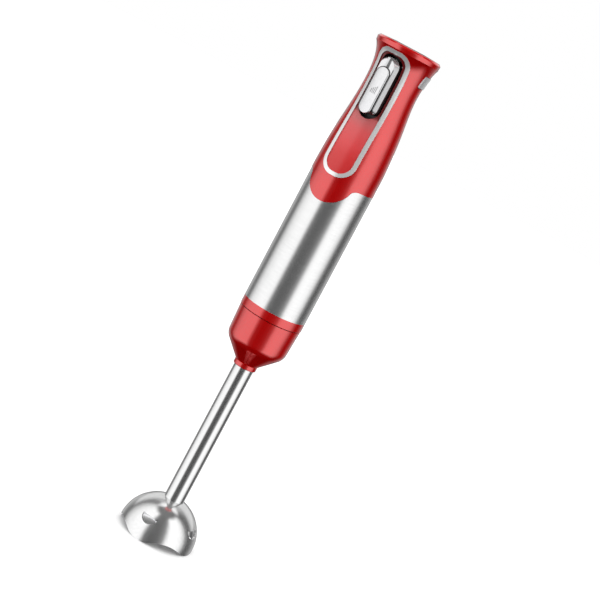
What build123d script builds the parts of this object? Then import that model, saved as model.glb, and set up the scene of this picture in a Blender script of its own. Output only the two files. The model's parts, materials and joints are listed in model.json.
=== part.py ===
from build123d import *
import math
import os

# Corded immersion blender, standing upright on the rim of its bell.
# Millimetres. +Z runs up the blade shaft, the front (trigger side) faces -Y,
# and the origin is on the shaft axis at the height of the bell's feet.

os.makedirs("parts", exist_ok=True)

# ---- driving dimensions -------------------------------------------------
total_height = 437.6

bell_r = 32.4            # widest outer radius of the bell
bell_rise = 31.75        # vertical semi-axis of the domed bell
bell_centre_z = 3.2      # height of the bell's widest ring
bell_wall = 1.2
arch_height = 6.0        # how far the rim lifts between two feet
arch_half_span = 21.9
arch_quarter_span = 12.4
vent_top_z = 20.2
vent_half_width = 6.9
vent_depth = 6.0

stem_r = 8.4
stem_wall = 0.8
stem_bottom_z = 21.5
stem_top_z = 172.0

neck_r = 9.75
neck_rounding = 0.6
neck_bottom_z = 157.0
cup_bottom_z = 161.0
cup_corner_r = 25.0
cup_corner_z = 176.8
cup_top_r = 26.2
cup_top_z = 202.4
cup_bore_r = 23.55
cup_floor_z = 179.0

body_r = 26.5            # steel sleeve
sleeve_wall = 0.8
sleeve_bottom_z = 210.0
collar_bottom_z = 202.75
shell_bottom_z = 323.0   # edge between the sleeve and the handle shell
tongue_r = 18.4          # half width and drop of the front tongue
housing_r = 25.6
housing_inner_r = 23.4

cap_bottom_z = 432.2
shell_wall = 2.2
# radius and forward offset of evenly spaced handle sections, from the sleeve up
handle_sections = [
    (26.7, 0.0),
    (26.55, 0.0),
    (25.95, 0.0),
    (24.9, 0.0),
    (23.5, 0.2),
    (22.05, 1.2),
    (21.4, 2.1),
    (22.45, 2.5),
    (26.8, 5.3),
]
cap_r = 26.85
cap_forward = 5.3
inlet_r = 4.0            # bore in the cap where the supply cord would enter
inlet_length = 8.0

trim_half_width = 14.2
trim_band = 3.0
trim_bottom_z = 326.0
trim_top_z = 431.0
trim_top_corner = 9.0
trim_bottom_corner = 12.5
opening_half_width = 9.2
opening_bottom_z = 375.4
opening_top_z = 427.2
opening_top_corner = 7.0
well_wall = 1.3
well_floor_y = -13.0
window_back_y = -4.0     # the front window is cut between these two planes
window_front_y = -40.0

trigger_pivot_y = -18.6
trigger_pivot_z = 421.5
carrier_half_width = 8.1
cover_half_width = 8.2
cover_tray_half_width = 7.0
cover_bottom_z = 379.8
cover_top_z = 425.2
cover_back_y = -25.0
cover_lip_y = -26.2      # the bright cover starts here, in front of the carrier
cover_front_y = -31.0
cover_taper = 24.0       # slope of the cover's flanks
pad_half_width = 5.3
pad_bottom_z = 378.7
pad_top_z = 416.3
pad_front_y = -32.4
pad_rounding = 0.9
pad_groove = 0.7
ridge_half_width = 2.5    # crisp ridge above the pad
ridge_slope = 25.0
ridge_fall = 0.6          # how far its crest drops back on the way up
pin_r = 1.5
plunger_r = 1.5
plunger_z = 391.0

button_bottom_z = 414.0
button_top_z = 424.0
button_front_y = -8.0
button_back_y = 5.0

shaft_r = 2.5            # blade shaft
rotor_shaft_r = 3.0
running = 0.03           # radial clearance of a shaft in its bush
gap = 0.3                # clearance round moving pieces

ring_inner_r = 20.35
ring_bottom_z = 190.5
nose_r = 20.0
nose_inner_r = 17.0
nose_bottom_z = 189.5
lug_r = 22.0
lug_bottom_z = 193.5
lug_top_z = 196.5
lug_half_angle = 8.0
slot_r = 22.5
slot_play_angle = 3.0
lock_angle = 25.0
lug_angles = (90.0, 210.0, 330.0)

wing_r = 9.2             # reach of the male coupling's two wings
stator_r = 21.0
stator_bottom_z = 236.0
stator_height = 36.0
armature_r = 12.1
armature_gap = 0.4


# ---- shared shapes ------------------------------------------------------
def ring_part(outer_r, inner_r, bottom_z, top_z):
    """A plain tube about the shaft axis."""
    with BuildPart() as ring:
        with BuildSketch(Plane.XY.offset(bottom_z)):
            Circle(outer_r)
            if inner_r > 0:
                Circle(inner_r, mode=Mode.SUBTRACT)
        extrude(amount=top_z - bottom_z)
    return ring.part


def skin(grow):
    """The solid handle form, grown or shrunk all round by the given amount."""
    with BuildPart() as form:
        step = (cap_bottom_z - shell_bottom_z) / (len(handle_sections) - 1)
        for index, (radius, forward) in enumerate(handle_sections):
            with BuildSketch(Plane((0, -forward, shell_bottom_z + index * step))):
                Circle(radius + grow)
        loft()
    return form.part


def front_outline(half_width, bottom_z, top_z, bottom_corner, top_corner, back_y, front_y):
    """A prism with rounded ends, seen from the front, between two Y values."""
    with BuildPart() as prism:
        with BuildSketch(Plane.XZ.offset(-back_y)):
            with Locations((0, (bottom_z + top_z) / 2)):
                Rectangle(2 * half_width, top_z - bottom_z)
            fillet(vertices().group_by(Axis.Y)[0], bottom_corner)
            fillet(vertices().group_by(Axis.Y)[-1], top_corner)
        extrude(amount=back_y - front_y)
    return prism.part


def sector_part(inner_r, outer_r, start_angle, end_angle, bottom_z, top_z):
    """A block between two radii and two angles about the shaft axis."""
    with BuildPart() as block:
        with BuildSketch(Plane.XY.offset(bottom_z)):
            with BuildLine():
                inner = CenterArc((0, 0), inner_r, start_angle, end_angle - start_angle)
                outer = CenterArc((0, 0), outer_r, start_angle, end_angle - start_angle)
                Line(inner @ 0, outer @ 0)
                Line(inner @ 1, outer @ 1)
            make_face()
        extrude(amount=top_z - bottom_z)
    return block.part


def coil_spring(start, direction, coil_r, wire_r, length, turns):
    """An open compression spring that runs from a point along a direction."""
    with BuildPart() as coil:
        with BuildLine():
            path = Helix(
                pitch=length / turns, height=length, radius=coil_r, center=start, direction=direction
            )
        with BuildSketch(Plane(origin=path @ 0, z_dir=path % 0)):
            Circle(wire_r)
        sweep(path=path, is_frenet=True)
    return coil.part


def ball_bearing(bore_r, outer_r, bottom_z, width, ball_r, ball_count):
    """Two races with a ring of balls between them."""
    mid_z = bottom_z + width / 2
    pitch_r = (bore_r + outer_r) / 2
    with BuildPart() as bearing:
        for race_inner, race_outer in ((bore_r, pitch_r - ball_r / 2), (pitch_r + ball_r / 2, outer_r)):
            with BuildSketch(Plane.XY.offset(bottom_z)):
                Circle(race_outer)
                Circle(race_inner, mode=Mode.SUBTRACT)
            extrude(amount=width)
        with BuildSketch(Plane.XZ):
            with Locations((pitch_r, mid_z)):
                Circle(ball_r + 0.05)
        revolve(axis=Axis.Z, mode=Mode.SUBTRACT)
        with PolarLocations(pitch_r, ball_count):
            with Locations((0, 0, mid_z)):
                Sphere(ball_r)
    return bearing.part


def save(part, name):
    """Labels a finished piece and writes its file."""
    part.label = name
    export_step(part, f"parts/{name}.step")


# ---- blending shaft: bell guard -----------------------------------------
inner_bell_r = bell_r - bell_wall
inner_bell_rise = bell_rise - bell_wall
hub_r = 10.2
hub_below_crest = 2.5
with BuildPart() as bell_guard:
    with BuildSketch(Plane.XY.offset(bell_centre_z)):
        Circle(bell_r)
    extrude(amount=-bell_centre_z)
    with BuildSketch(Plane.XZ):
        with Locations((0, bell_centre_z)):
            Ellipse(bell_r, bell_rise)
        with Locations((-bell_r, bell_centre_z)):
            Rectangle(2 * bell_r, 4 * bell_r, mode=Mode.SUBTRACT)
        with Locations((0, bell_centre_z - bell_r)):
            Rectangle(4 * bell_r, 2 * bell_r, mode=Mode.SUBTRACT)
    revolve(axis=Axis.Z)
    with BuildSketch(Plane.XY):
        Circle(inner_bell_r)
    extrude(amount=bell_centre_z, mode=Mode.SUBTRACT)
    with BuildSketch(Plane.XZ):
        with Locations((0, bell_centre_z)):
            Ellipse(inner_bell_r, inner_bell_rise)
        with Locations((-bell_r, bell_centre_z)):
            Rectangle(2 * bell_r, 4 * bell_r, mode=Mode.SUBTRACT)
        with Locations((0, bell_centre_z - bell_r)):
            Rectangle(4 * bell_r, 2 * bell_r, mode=Mode.SUBTRACT)
    revolve(axis=Axis.Z, mode=Mode.SUBTRACT)
    # hub that the stem is seated in, under the dome
    with BuildSketch(Plane.XY.offset(stem_bottom_z)):
        Circle(hub_r)
    extrude(amount=bell_centre_z + bell_rise - stem_bottom_z - hub_below_crest)
    with BuildSketch(Plane.XY.offset(stem_bottom_z - 1)):
        Circle(stem_r)
    extrude(amount=bell_rise, mode=Mode.SUBTRACT)
    # the rim lifts in a smooth arch between each pair of feet
    for turn in (45, 135):
        with BuildSketch(Plane.XZ.rotated((0, 0, turn))):
            with BuildLine():
                Spline(
                    (-arch_half_span, 0),
                    (-arch_quarter_span, arch_height / 2),
                    (0, arch_height),
                    (arch_quarter_span, arch_height / 2),
                    (arch_half_span, 0),
                    tangents=((1, 0), (1, 0)),
                )
                Polyline(
                    (arch_half_span, 0),
                    (arch_half_span, -1),
                    (-arch_half_span, -1),
                    (-arch_half_span, 0),
                )
            make_face()
        extrude(amount=2 * bell_r, both=True, mode=Mode.SUBTRACT)
    # one vent above each foot: flat top, rounded bottom
    for turn in (0, 90):
        with BuildSketch(Plane.XZ.rotated((0, 0, turn))):
            with Locations((0, vent_top_z)):
                Ellipse(vent_half_width, vent_depth)
                Rectangle(
                    2 * vent_half_width,
                    2 * vent_depth,
                    align=(Align.CENTER, Align.MIN),
                    mode=Mode.SUBTRACT,
                )
        extrude(amount=2 * bell_r, both=True, mode=Mode.SUBTRACT)
save(bell_guard.part, "bell_guard")

# ---- blending shaft: stem, neck and adapter cup -------------------------
save(ring_part(stem_r, stem_r - stem_wall, stem_bottom_z, stem_top_z), "stem_tube")

with BuildPart() as neck_ring:
    with BuildSketch(Plane.XY.offset(neck_bottom_z)):
        Circle(neck_r)
        Circle(stem_r, mode=Mode.SUBTRACT)
    extrude(amount=cup_bottom_z - neck_bottom_z)
    rims = neck_ring.edges().filter_by(GeomType.CIRCLE).filter_by(lambda e: e.radius > stem_r)
    fillet(rims, neck_rounding)
save(neck_ring.part, "neck_ring")

cup_bush_r = 7.0
cup_lower_bore_r = 21.5
cup_shoulder_rounding = 11
with BuildPart() as adapter_cup:
    with BuildSketch(Plane.XZ):
        with BuildLine():
            outer = FilletPolyline(
                (neck_r - 0.1, cup_bottom_z),
                (cup_corner_r, cup_corner_z),
                (cup_top_r, cup_top_z),
                radius=cup_shoulder_rounding,
            )
            Polyline(
                outer @ 1,
                (cup_bore_r, cup_top_z),
                (cup_bore_r, ring_bottom_z),
                (cup_lower_bore_r, ring_bottom_z),
                (cup_lower_bore_r, cup_floor_z),
                (cup_bush_r, cup_floor_z),
                (cup_bush_r, stem_top_z),
                (stem_r, stem_top_z),
                (stem_r, cup_bottom_z),
                outer @ 0,
            )
        make_face()
    revolve(axis=Axis.Z)
save(adapter_cup.part, "adapter_cup")

with BuildPart() as bayonet_ring:
    add(ring_part(cup_bore_r, ring_inner_r, ring_bottom_z, cup_top_z - 0.4))
    for angle in lug_angles:
        low = angle - lug_half_angle - slot_play_angle
        high = angle + lug_half_angle + slot_play_angle
        entry = sector_part(ring_inner_r - 1, slot_r, low, high, lug_bottom_z - gap, cup_top_z)
        lane = sector_part(
            ring_inner_r - 1, slot_r, low, high + lock_angle, lug_bottom_z - gap, lug_top_z + gap
        )
        add(entry, mode=Mode.SUBTRACT)
        add(lane, mode=Mode.SUBTRACT)
save(bayonet_ring.part, "bayonet_ring")

stem_bore_r = stem_r - stem_wall
bush_bore_r = shaft_r + running
lower_bush_z = 26.0
lower_bush_height = 14.0
middle_bush_z = 96.0
middle_bush_height = 12.0
upper_bush_height = 6.0
save(
    ring_part(stem_bore_r, bush_bore_r, lower_bush_z, lower_bush_z + lower_bush_height), "lower_bushing"
)
save(
    ring_part(stem_bore_r, bush_bore_r, middle_bush_z, middle_bush_z + middle_bush_height),
    "middle_bushing",
)
save(ring_part(cup_bush_r, bush_bore_r, stem_top_z, stem_top_z + upper_bush_height), "upper_bushing")

seal_z = 22.0
seal_thickness = 3.8
lip_groove_at_r = 5.2
lip_groove_r = 1.3
with BuildPart() as shaft_seal:
    add(ring_part(stem_bore_r, bush_bore_r, seal_z, seal_z + seal_thickness))
    with BuildSketch(Plane.XZ):
        with Locations((lip_groove_at_r, seal_z)):
            Circle(lip_groove_r)
    revolve(axis=Axis.Z, mode=Mode.SUBTRACT)
save(shaft_seal.part, "shaft_seal")

# ---- blade assembly -----------------------------------------------------
shaft_bottom_z = 9.0
shaft_top_z = 182.0
with BuildPart() as drive_shaft:
    with BuildSketch(Plane.XY.offset(shaft_bottom_z)):
        Circle(shaft_r)
    extrude(amount=shaft_top_z - shaft_bottom_z)
save(drive_shaft.part, "drive_shaft")

blade_z = 10.4
blade_thickness = 1.2
blade_reach = 21.0
blade_flat = 9.0         # half length of the flat middle
blade_middle_r = 6.0
blade_half_width = 8.0   # of the strip that the plan form is cut from
wing_rise = 4.0
wing_drop = 2.6
with BuildPart() as blade:
    with BuildSketch(Plane.XZ):
        with BuildLine():
            Polyline(
                (-blade_reach, blade_z - wing_drop),
                (-blade_flat, blade_z),
                (blade_flat, blade_z),
                (blade_reach, blade_z + wing_rise),
                (blade_reach, blade_z + wing_rise + blade_thickness),
                (blade_flat, blade_z + blade_thickness),
                (-blade_flat, blade_z + blade_thickness),
                (-blade_reach, blade_z - wing_drop + blade_thickness),
                close=True,
            )
        make_face()
    extrude(amount=blade_half_width, both=True)
    # plan form: a round middle with two swept, pointed wings
    with BuildSketch(Plane.XY):
        Circle(blade_middle_r)
        for side in (1, -1):
            with BuildLine():
                edge = ThreePointArc((0, -5 * side), (12 * side, -4.4 * side), (20.6 * side, 1.5 * side))
                Polyline(edge @ 1, (17 * side, 4.4 * side), (0, 4 * side), edge @ 0)
            make_face()
        Circle(shaft_r, mode=Mode.SUBTRACT)
    extrude(amount=2 * blade_z, mode=Mode.INTERSECT)
save(blade.part, "blade")

hub_barrel_r = 4.6
hub_barrel_z = blade_z + blade_thickness
hub_barrel_height = 6.4
hub_flange_r = 6.4
hub_flange_height = 1.6
with BuildPart() as blade_hub:
    with BuildSketch(Plane.XY.offset(hub_barrel_z)):
        Circle(hub_barrel_r)
        Circle(shaft_r, mode=Mode.SUBTRACT)
    extrude(amount=hub_barrel_height)
    with BuildSketch(Plane.XY.offset(hub_barrel_z + hub_barrel_height)):
        Circle(hub_flange_r)
        Circle(shaft_r, mode=Mode.SUBTRACT)
    extrude(amount=hub_flange_height)
save(blade_hub.part, "blade_hub")

nut_height = 3.2
nut_corner_r = 4.6
nut_end_r = 3.6
with BuildPart() as blade_nut:
    with BuildSketch(Plane.XY.offset(blade_z - nut_height)):
        RegularPolygon(radius=nut_corner_r, side_count=6)
    extrude(amount=nut_height)
    with BuildSketch(Plane.XY.offset(blade_z)):
        Circle(shaft_r)
    extrude(amount=shaft_bottom_z - blade_z, mode=Mode.SUBTRACT)
    with BuildSketch(Plane.XY.offset(blade_z - nut_height)):
        Circle(nut_end_r)
    extrude(amount=-1.0, taper=30)
save(blade_nut.part, "blade_nut")

clip_r = 4.4
clip_z = 178.3
clip_thickness = 0.8
clip_opening = 2.4
with BuildPart() as retaining_ring:
    add(ring_part(clip_r, shaft_r, clip_z, clip_z + clip_thickness))
    with BuildSketch(Plane.XY.offset(clip_z)):
        with Locations((0, clip_r)):
            Rectangle(clip_opening, 2 * clip_r)
    extrude(amount=clip_thickness, mode=Mode.SUBTRACT)
save(retaining_ring.part, "retaining_ring")

coupling_base_z = 179.6
coupling_r = 11.0
coupling_bore_r = 9.6
coupling_floor_z = shaft_top_z + 1.0
coupling_top_z = 188.6
coupling_rib_width = 3.0
coupling_rib_depth = 4.0
with BuildPart() as shaft_coupling:
    add(ring_part(coupling_r, shaft_r, coupling_base_z, shaft_top_z))
    add(ring_part(coupling_r, 0, shaft_top_z, coupling_floor_z))
    add(ring_part(coupling_r, coupling_bore_r, coupling_floor_z, coupling_top_z))
    for turn in (0, 180):
        with BuildSketch(Plane.XY.offset(coupling_floor_z).rotated((0, 0, turn))):
            with Locations((0, coupling_bore_r - 1.4)):
                Rectangle(coupling_rib_width, coupling_rib_depth)
        extrude(amount=coupling_top_z - coupling_floor_z)
save(shaft_coupling.part, "shaft_coupling")

# ---- O-ring on the motor nose -------------------------------------------
seal_bottom_z = 199.0
seal_height = 2.2
seal_groove_r = 19.0
seal_fit = 0.06
seal_rounding = 0.35
with BuildPart() as nose_o_ring:
    add(
        ring_part(
            ring_inner_r - 0.1, seal_groove_r + seal_fit, seal_bottom_z, seal_bottom_z + seal_height
        )
    )
    fillet(nose_o_ring.edges().filter_by(GeomType.CIRCLE), seal_rounding)
save(nose_o_ring.part, "nose_o_ring")

# ---- motor unit: nose, collar, housing and sleeve -----------------------
nose_flange_z = 202.6
nose_top_z = 206.0
nose_bore_r = 7.0
boss_circle_r = 17.5
boss_r = 2.4
boss_bore_r = 1.4
boss_height = 5.0
with BuildPart() as motor_nose:
    add(ring_part(housing_inner_r - 0.1, nose_bore_r, nose_flange_z, nose_top_z))
    add(ring_part(nose_r, nose_inner_r, nose_bottom_z, nose_flange_z))
    add(
        ring_part(nose_r + 1, seal_groove_r, seal_bottom_z - 0.1, seal_bottom_z + seal_height + 0.1),
        mode=Mode.SUBTRACT,
    )
    for angle in lug_angles:
        add(
            sector_part(
                nose_r - 1,
                lug_r,
                angle - lug_half_angle,
                angle + lug_half_angle,
                lug_bottom_z,
                lug_top_z,
            )
        )
    # three screw bosses that carry the lower end bracket
    with BuildSketch(Plane.XY.offset(nose_top_z)):
        with PolarLocations(boss_circle_r, 3):
            Circle(boss_r)
            Circle(boss_bore_r, mode=Mode.SUBTRACT)
    extrude(amount=boss_height)
save(motor_nose.part, "motor_nose")

with BuildPart() as collar_ring:
    with BuildSketch(Plane.XY.offset(collar_bottom_z)):
        Circle(body_r)
        Circle(housing_inner_r, mode=Mode.SUBTRACT)
    extrude(amount=sleeve_bottom_z - collar_bottom_z)
    outer_rim = collar_ring.edges().filter_by(GeomType.CIRCLE).group_by(Axis.Z)[0].sort_by(Edge.length)[-1]
    fillet(outer_rim, 0.5)
save(collar_ring.part, "collar_ring")

housing_top_z = 299.8
with BuildPart() as motor_housing:
    add(ring_part(housing_r, housing_inner_r, sleeve_bottom_z, housing_top_z))
    # ribs that hold the stator
    for turn in range(45, 360, 90):
        with BuildSketch(Plane.XY.offset(stator_bottom_z).rotated((0, 0, turn))):
            with Locations(((stator_r + housing_inner_r) / 2 + 0.2, 0)):
                Rectangle(housing_inner_r - stator_r, 3)
        extrude(amount=stator_height)
save(motor_housing.part, "motor_housing")

sleeve_cut_corner = 5.0
with BuildPart() as steel_sleeve:
    add(ring_part(body_r, body_r - sleeve_wall, sleeve_bottom_z, shell_bottom_z + 1))
    with BuildSketch(Plane.XZ):
        with Locations((0, shell_bottom_z)):
            Rectangle(4 * body_r, 10, align=(Align.CENTER, Align.MIN))
            Circle(tongue_r)
        corners = vertices().filter_by(lambda v: abs(v.Y - shell_bottom_z) < 0.1 and abs(v.X) < body_r)
        fillet(corners, sleeve_cut_corner)
    extrude(amount=2 * body_r, mode=Mode.SUBTRACT)
    with BuildSketch(Plane.XY.offset(shell_bottom_z)):
        Circle(body_r + 1)
    extrude(amount=2, mode=Mode.SUBTRACT)
save(steel_sleeve.part, "steel_sleeve")

# ---- motor unit: handle shell -------------------------------------------
handle_form = skin(0)
inner_form = skin(-shell_wall)
skirt_inner_r = 23.4
skirt_bottom_z = 300.0
tongue_gap = 0.1
board_y = 4.1
board_thickness = 1.6
board_screw_x = 11.0
board_screw_heights = (331.0, 395.0)
board_screw_r = 1.2
board_screw_length = 7.0
board_post_r = 2.6
trim_outer = front_outline(
    trim_half_width + 0.05,
    trim_bottom_z - 0.05,
    trim_top_z + 0.05,
    trim_bottom_corner,
    trim_top_corner,
    window_back_y,
    window_front_y,
)

# tongue that fills the sleeve's cut-out, flush with the form above
with BuildPart() as tongue:
    add(ring_part(handle_sections[0][0], skirt_inner_r, shell_bottom_z - tongue_r - 1, shell_bottom_z + 0.5))
    with BuildSketch(Plane.XZ):
        with Locations((0, shell_bottom_z)):
            Rectangle(4 * body_r, 10, align=(Align.CENTER, Align.MIN))
            Circle(tongue_r - tongue_gap)
        corners = vertices().filter_by(lambda v: abs(v.Y - shell_bottom_z) < 0.1 and abs(v.X) < body_r)
        fillet(corners, sleeve_cut_corner)
    extrude(amount=2 * body_r, mode=Mode.INTERSECT)

# posts on the back wall that carry the circuit board
board_back = Plane.XZ.offset(-(board_y + board_thickness))
with BuildPart() as board_posts:
    for height in board_screw_heights:
        with BuildSketch(board_back):
            with Locations((-board_screw_x, height), (board_screw_x, height)):
                Circle(board_post_r)
        extrude(amount=-body_r)
    add(skin(-shell_wall / 2), mode=Mode.INTERSECT)

with BuildPart() as handle_shell:
    add(handle_form)
    add(inner_form, mode=Mode.SUBTRACT)
    add(ring_part(housing_r, skirt_inner_r, skirt_bottom_z, shell_bottom_z + 3))
    add(tongue.part)
    add(board_posts.part)
    for height in board_screw_heights:
        with BuildSketch(board_back):
            with Locations((-board_screw_x, height), (board_screw_x, height)):
                Circle(board_screw_r)
        extrude(amount=-board_screw_length, mode=Mode.SUBTRACT)
    # window for the trim, the inlay and the trigger
    add(trim_outer, mode=Mode.SUBTRACT)
    # window for the side button
    with BuildSketch(Plane.YZ):
        with Locations(((button_front_y + button_back_y) / 2, (button_bottom_z + button_top_z) / 2)):
            RectangleRounded(
                button_back_y - button_front_y + 2 * gap,
                button_top_z - button_bottom_z + 2 * gap,
                1.2,
            )
    extrude(amount=2 * body_r, mode=Mode.SUBTRACT)
save(handle_shell.part, "handle_shell")

with BuildPart(Plane((0, -cap_forward, 0))) as top_cap:
    with BuildSketch(Plane((0, -cap_forward, 0), x_dir=(1, 0, 0), z_dir=(0, -1, 0))):
        with BuildLine():
            crown = FilletPolyline(
                (cap_r - 0.35, cap_bottom_z),
                (cap_r + 0.05, 435.2),
                (25.2, 436.9),
                (12, total_height),
                (inlet_r, total_height),
                radius=1.1,
            )
            Polyline(
                crown @ 1,
                (inlet_r, total_height - inlet_length),
                (inlet_r + 2, total_height - inlet_length),
                (inlet_r + 2, total_height - 2.4),
                (22.0, cap_bottom_z + 2.2),
                (22.0, cap_bottom_z - 0.9),
                (23.6, cap_bottom_z - 0.9),
                (23.6, cap_bottom_z),
                crown @ 0,
            )
        make_face()
    revolve(axis=Axis((0, -cap_forward, 0), (0, 0, 1)))
save(top_cap.part, "top_cap")

# ---- motor unit: trim, inlay and trigger well ---------------------------
inlay_half_width = trim_half_width - trim_band
inlay_bottom_z = trim_bottom_z + trim_band
inlay_top_z = trim_top_z - trim_band
inlay_bottom_corner = trim_bottom_corner - trim_band + 0.3
inlay_top_corner = trim_top_corner - trim_band + 0.6
trim_proud = 0.55
inlay_sunk = 0.25
front_plate_depth = 2.4
with BuildPart() as trim_ring:
    add(skin(trim_proud))
    add(skin(-front_plate_depth), mode=Mode.SUBTRACT)
    add(
        front_outline(
            trim_half_width,
            trim_bottom_z,
            trim_top_z,
            trim_bottom_corner,
            trim_top_corner,
            window_back_y,
            window_front_y,
        ),
        mode=Mode.INTERSECT,
    )
    add(
        front_outline(
            inlay_half_width,
            inlay_bottom_z,
            inlay_top_z,
            inlay_bottom_corner,
            inlay_top_corner,
            window_back_y,
            window_front_y,
        ),
        mode=Mode.SUBTRACT,
    )
save(trim_ring.part, "trim_ring")

with BuildPart() as front_inlay:
    add(skin(-inlay_sunk))
    add(skin(-front_plate_depth), mode=Mode.SUBTRACT)
    add(
        front_outline(
            inlay_half_width - 0.05,
            inlay_bottom_z + 0.05,
            inlay_top_z - 0.05,
            inlay_bottom_corner,
            inlay_top_corner,
            window_back_y,
            window_front_y,
        ),
        mode=Mode.INTERSECT,
    )
    add(
        front_outline(
            opening_half_width,
            opening_bottom_z,
            opening_top_z,
            opening_half_width - 0.1,
            opening_top_corner,
            window_back_y,
            window_front_y,
        ),
        mode=Mode.SUBTRACT,
    )
save(front_inlay.part, "front_inlay")

with BuildPart() as trigger_well:
    add(
        front_outline(
            opening_half_width + well_wall,
            opening_bottom_z - well_wall,
            opening_top_z + well_wall,
            opening_half_width,
            opening_top_corner,
            well_floor_y + well_wall,
            window_front_y,
        )
    )
    add(skin(-front_plate_depth - 0.05), mode=Mode.INTERSECT)
    add(
        front_outline(
            opening_half_width,
            opening_bottom_z,
            opening_top_z,
            opening_half_width - 0.1,
            opening_top_corner,
            well_floor_y,
            window_front_y,
        ),
        mode=Mode.SUBTRACT,
    )
    # pivot holes and the hole for the switch plunger
    with BuildSketch(Plane.YZ):
        with Locations((trigger_pivot_y, trigger_pivot_z)):
            Circle(pin_r)
    extrude(amount=body_r, both=True, mode=Mode.SUBTRACT)
    with BuildSketch(Plane.XZ):
        with Locations((0, plunger_z)):
            Circle(plunger_r + gap)
    extrude(amount=body_r, mode=Mode.SUBTRACT)
save(trigger_well.part, "trigger_well")

with BuildPart() as pivot_pin:
    with BuildSketch(Plane.YZ):
        with Locations((trigger_pivot_y, trigger_pivot_z)):
            Circle(pin_r)
    extrude(amount=opening_half_width + well_wall - 0.2, both=True)
save(pivot_pin.part, "pivot_pin")

# ---- trigger ------------------------------------------------------------
carrier_back_y = -17.0
cover_tray = front_outline(
    cover_tray_half_width,
    cover_bottom_z + 1.4,
    cover_top_z - 1.4,
    3.2,
    6.2,
    cover_back_y,
    cover_lip_y,
)
trigger_spring_z = 403.0
trigger_spring_seat_y = -21.0
with BuildPart() as trigger_carrier:
    add(
        front_outline(
            carrier_half_width,
            cover_bottom_z + 0.1,
            cover_top_z - 0.1,
            4.5,
            7.5,
            carrier_back_y,
            cover_lip_y,
        )
    )
    add(cover_tray, mode=Mode.SUBTRACT)
    with BuildSketch(Plane.YZ):
        with Locations((trigger_pivot_y, trigger_pivot_z)):
            Circle(pin_r + running)
    extrude(amount=body_r, both=True, mode=Mode.SUBTRACT)
    with BuildSketch(Plane.XZ.offset(-carrier_back_y)):
        with Locations((0, trigger_spring_z)):
            Circle(3.4)
    extrude(amount=carrier_back_y - trigger_spring_seat_y, mode=Mode.SUBTRACT)
save(trigger_carrier.part, "trigger_carrier")

cover_middle_z = (cover_bottom_z + cover_top_z) / 2
pad_floor_y = cover_front_y + pad_groove
ridge_drop = ridge_half_width * math.tan(math.radians(ridge_slope))
ridge_foot = (0, cover_front_y - ridge_drop, pad_top_z - 3.0)
ridge_head = (0, cover_front_y - ridge_drop + ridge_fall, cover_top_z + 2.0)
ridge_root = ridge_drop + 2.0
with BuildPart() as trigger_cover:
    with BuildSketch(Plane.XZ.offset(-cover_lip_y)):
        with Locations((0, cover_middle_z)):
            Rectangle(2 * cover_half_width, cover_top_z - cover_bottom_z)
        fillet(vertices().group_by(Axis.Y)[0], 4.6)
        fillet(vertices().group_by(Axis.Y)[-1], 7.6)
    extrude(amount=cover_lip_y - cover_front_y, taper=cover_taper)
    fillet(trigger_cover.faces().sort_by(Axis.Y)[0].edges(), 0.3)
    # roof-shaped ridge that falls back from the pad towards the pivot
    with BuildPart(mode=Mode.PRIVATE) as ridge:
        with BuildLine(mode=Mode.PRIVATE):
            spine = Line(ridge_foot, ridge_head)
        with BuildSketch(Plane(origin=ridge_foot, x_dir=(1, 0, 0), z_dir=spine % 0)):
            Polygon(
                (0, 0),
                (ridge_half_width, ridge_drop),
                (ridge_half_width, ridge_root),
                (-ridge_half_width, ridge_root),
                (-ridge_half_width, ridge_drop),
                align=None,
            )
        extrude(amount=spine.length)
        add(
            front_outline(
                cover_half_width - 1.0,
                cover_bottom_z,
                cover_top_z - 1.0,
                4.0,
                6.6,
                cover_lip_y,
                pad_front_y - 1,
            ),
            mode=Mode.INTERSECT,
        )
    add(ridge.part)
    add(cover_tray)
    # seat and groove round the raised pad
    add(
        front_outline(
            pad_half_width + pad_groove,
            cover_bottom_z - 4,
            pad_top_z + pad_groove,
            pad_half_width,
            pad_half_width + pad_groove - 0.05,
            pad_floor_y,
            pad_front_y - 1,
        ),
        mode=Mode.SUBTRACT,
    )
save(trigger_cover.part, "trigger_cover")

grip_groove_width = 0.45
dish_r = 45.0
dish_depth = 0.25
with BuildPart() as trigger_pad:
    add(
        front_outline(
            pad_half_width,
            pad_bottom_z,
            pad_top_z,
            pad_half_width - 0.05,
            pad_half_width - 0.05,
            pad_floor_y,
            pad_front_y,
        )
    )
    fillet(trigger_pad.faces().sort_by(Axis.Y)[0].edges(), pad_rounding)
    # shallow dish for the finger
    with BuildSketch(Plane.XY.offset(pad_bottom_z - 1)):
        with Locations((0, pad_front_y - dish_r + dish_depth)):
            Circle(dish_r)
    extrude(amount=pad_top_z - pad_bottom_z + 2, mode=Mode.SUBTRACT)
    # four short grip grooves of growing length
    for index in range(4):
        with BuildSketch(Plane.XZ.offset(-pad_front_y)):
            with Locations(((index - 1.5) * 1.25, 396.5 + index * 0.5)):
                Rectangle(grip_groove_width, 3.4 + index)
        extrude(amount=-(dish_depth + 0.35), mode=Mode.SUBTRACT)
save(trigger_pad.part, "trigger_pad")

spring_end_gap = 0.4
trigger_spring_length = well_floor_y - trigger_spring_seat_y - 2 * spring_end_gap
trigger_spring_start = (0, trigger_spring_seat_y + spring_end_gap, trigger_spring_z)
save(coil_spring(trigger_spring_start, (0, 1, 0), 2.5, 0.35, trigger_spring_length, 5), "trigger_spring")

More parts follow.
